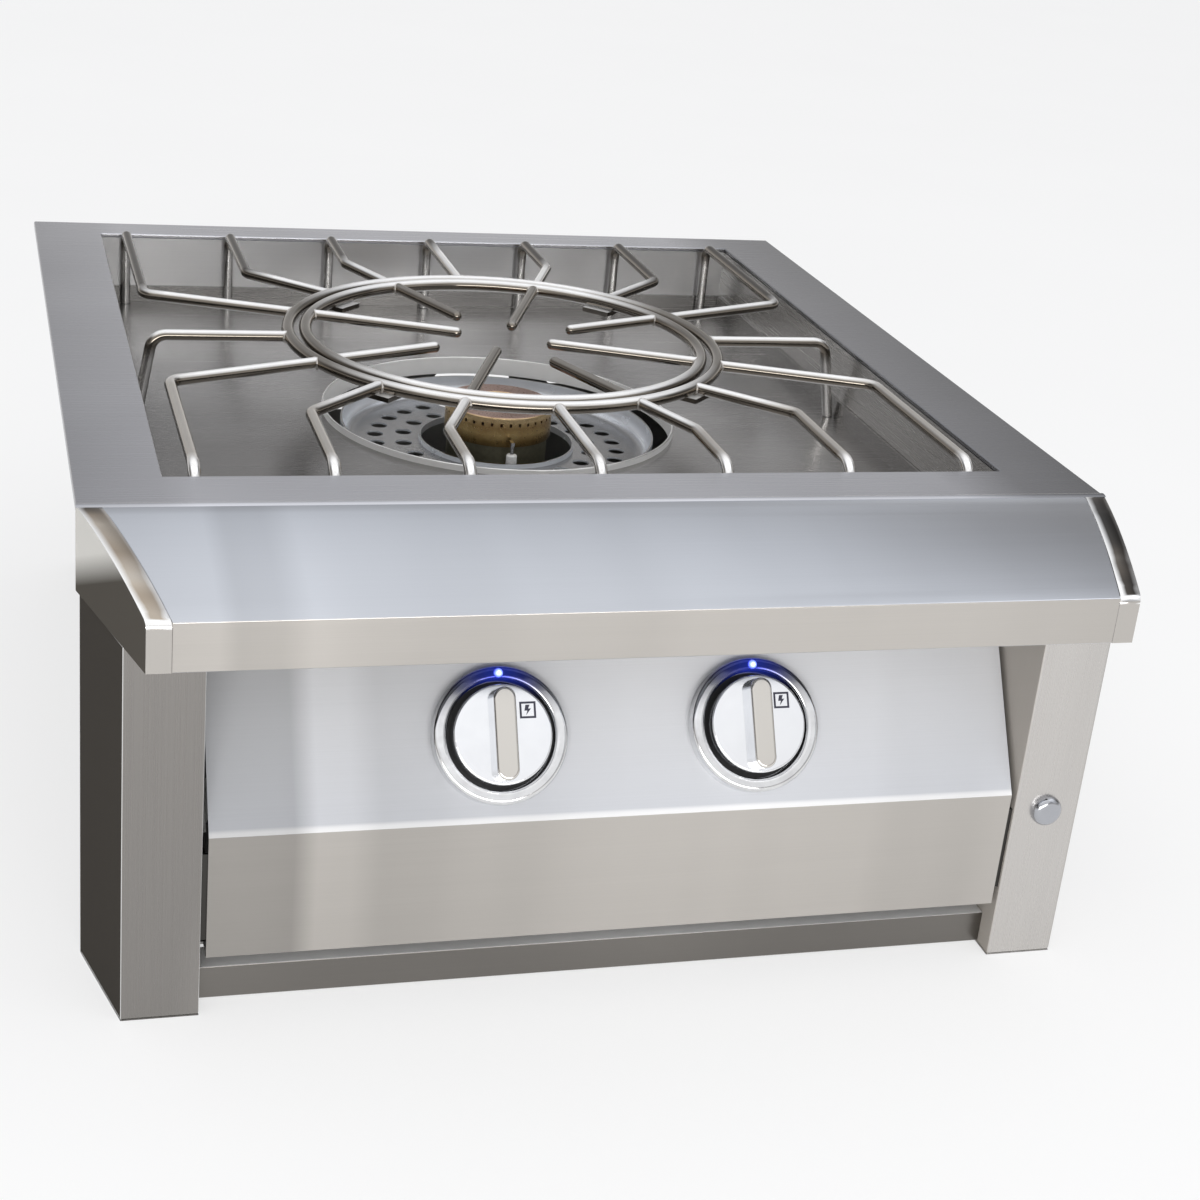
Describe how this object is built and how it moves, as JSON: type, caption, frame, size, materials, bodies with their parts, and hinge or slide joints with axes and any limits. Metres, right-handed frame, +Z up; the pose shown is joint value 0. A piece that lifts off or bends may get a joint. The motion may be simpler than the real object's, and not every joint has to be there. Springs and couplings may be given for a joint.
{
  "type": "gas burner",
  "caption": "Built-in gas burner: steel rim and tub, rod grate with lift-out wok ring over a brass burner, sloped nose above a tilted panel with push-and-turn knobs.",
  "frame": {"origin": "at the base, below the middle of the bounding box", "axes": "+X to the right of someone facing the knobs, +Y to the back, +Z up"},
  "size_m": [0.57, 0.672, 0.2663],
  "materials": {
    "panel_steel": "brushed stainless sheet",
    "polished_steel": "polished stainless",
    "rod_steel": "polished stainless rod",
    "housing_steel": "plain steel sheet",
    "knob_metal": "satin plated metal",
    "brass": "plain brass, heat-tinted at the burner",
    "cast_metal": "rough casting",
    "pipe_steel": "plain steel",
    "ceramic": "white glazed ceramic",
    "light_lens": "clear lens over a blue-white light",
    "module_plastic": "black moulding"
  },
  "bodies": {
    "frame": {"top_frame": "panel_steel", "nose_panel": "panel_steel", "post_left": "panel_steel", "post_right": "panel_steel", "control_panel": "panel_steel", "lower_rail": "panel_steel", "tub_wall_left": "panel_steel", "tub_wall_right": "panel_steel", "tub_wall_front": "panel_steel", "tub_wall_rear": "panel_steel", "tub_floor": "panel_steel", "tub_floor_edges": "panel_steel", "nose_end_left": "polished_steel", "nose_end_right": "polished_steel", "bezel_left": "polished_steel", "bezel_right": "polished_steel", "post_bolt": "polished_steel", "burner_bowl": "polished_steel", "well_collar": "polished_steel", "igniter_tip": "polished_steel", "housing_side_left": "housing_steel", "housing_side_right": "housing_steel", "housing_rear": "housing_steel", "housing_bottom": "housing_steel", "housing_screws": "housing_steel", "panel_brackets": "housing_steel", "manifold_brackets": "housing_steel", "burner_bracket": "housing_steel", "bowl_hangers": "housing_steel", "burner_head": "brass", "burner_cap": "brass", "inner_burner": "brass", "valve_left": "brass", "valve_right": "brass", "orifices": "brass", "gas_inlet": "brass", "inlet_nut": "brass", "burner_body": "cast_metal", "manifold": "pipe_steel", "supply_pipe": "pipe_steel", "venturi_left": "pipe_steel", "venturi_right": "pipe_steel", "air_shutters": "pipe_steel", "igniter_electrode": "ceramic", "led_left": "light_lens", "led_right": "light_lens", "ignition_module": "module_plastic"},
    "plug_left": {"plug_left": "brass"},
    "plug_right": {"plug_right": "brass"},
    "knob_left": {"stem_left": "pipe_steel", "knob_left": "knob_metal"},
    "knob_right": {"stem_right": "pipe_steel", "knob_right": "knob_metal"},
    "grate": {"grate_ring": "rod_steel", "grate_rods_front": "rod_steel", "grate_rods_rear": "rod_steel", "grate_rods_side": "rod_steel", "ring_tabs": "rod_steel"},
    "wok_insert": {"wok_ring": "rod_steel", "wok_fingers": "rod_steel"}
  },
  "joints": [
    {"name": "knob_left_turn", "type": "hinge", "parent": "frame", "child": "plug_left", "pos_m": [-0.071, -0.27944, 0.144], "axis": [0, -0.848, 0.5299], "range_deg": [0, 225]},
    {"name": "knob_left_push", "type": "slide", "parent": "plug_left", "child": "knob_left", "axis": [0, 0.848, -0.5299], "range_m": [0, 0.004], "stiffness_N_per_m": 800, "springref_m": -0.002},
    {"name": "knob_right_turn", "type": "hinge", "parent": "frame", "child": "plug_right", "pos_m": [0.071, -0.27944, 0.144], "axis": [0, -0.848, 0.5299], "range_deg": [0, 225]},
    {"name": "knob_right_push", "type": "slide", "parent": "plug_right", "child": "knob_right", "axis": [0, 0.848, -0.5299], "range_m": [0, 0.004], "stiffness_N_per_m": 800, "springref_m": -0.002},
    {"name": "grate_lift", "type": "slide", "parent": "frame", "child": "grate", "axis": [0, 0, 1], "range_m": [0, 0.12]},
    {"name": "wok_lift", "type": "slide", "parent": "grate", "child": "wok_insert", "axis": [0, 0, 1], "range_m": [0, 0.08]}
  ]
}
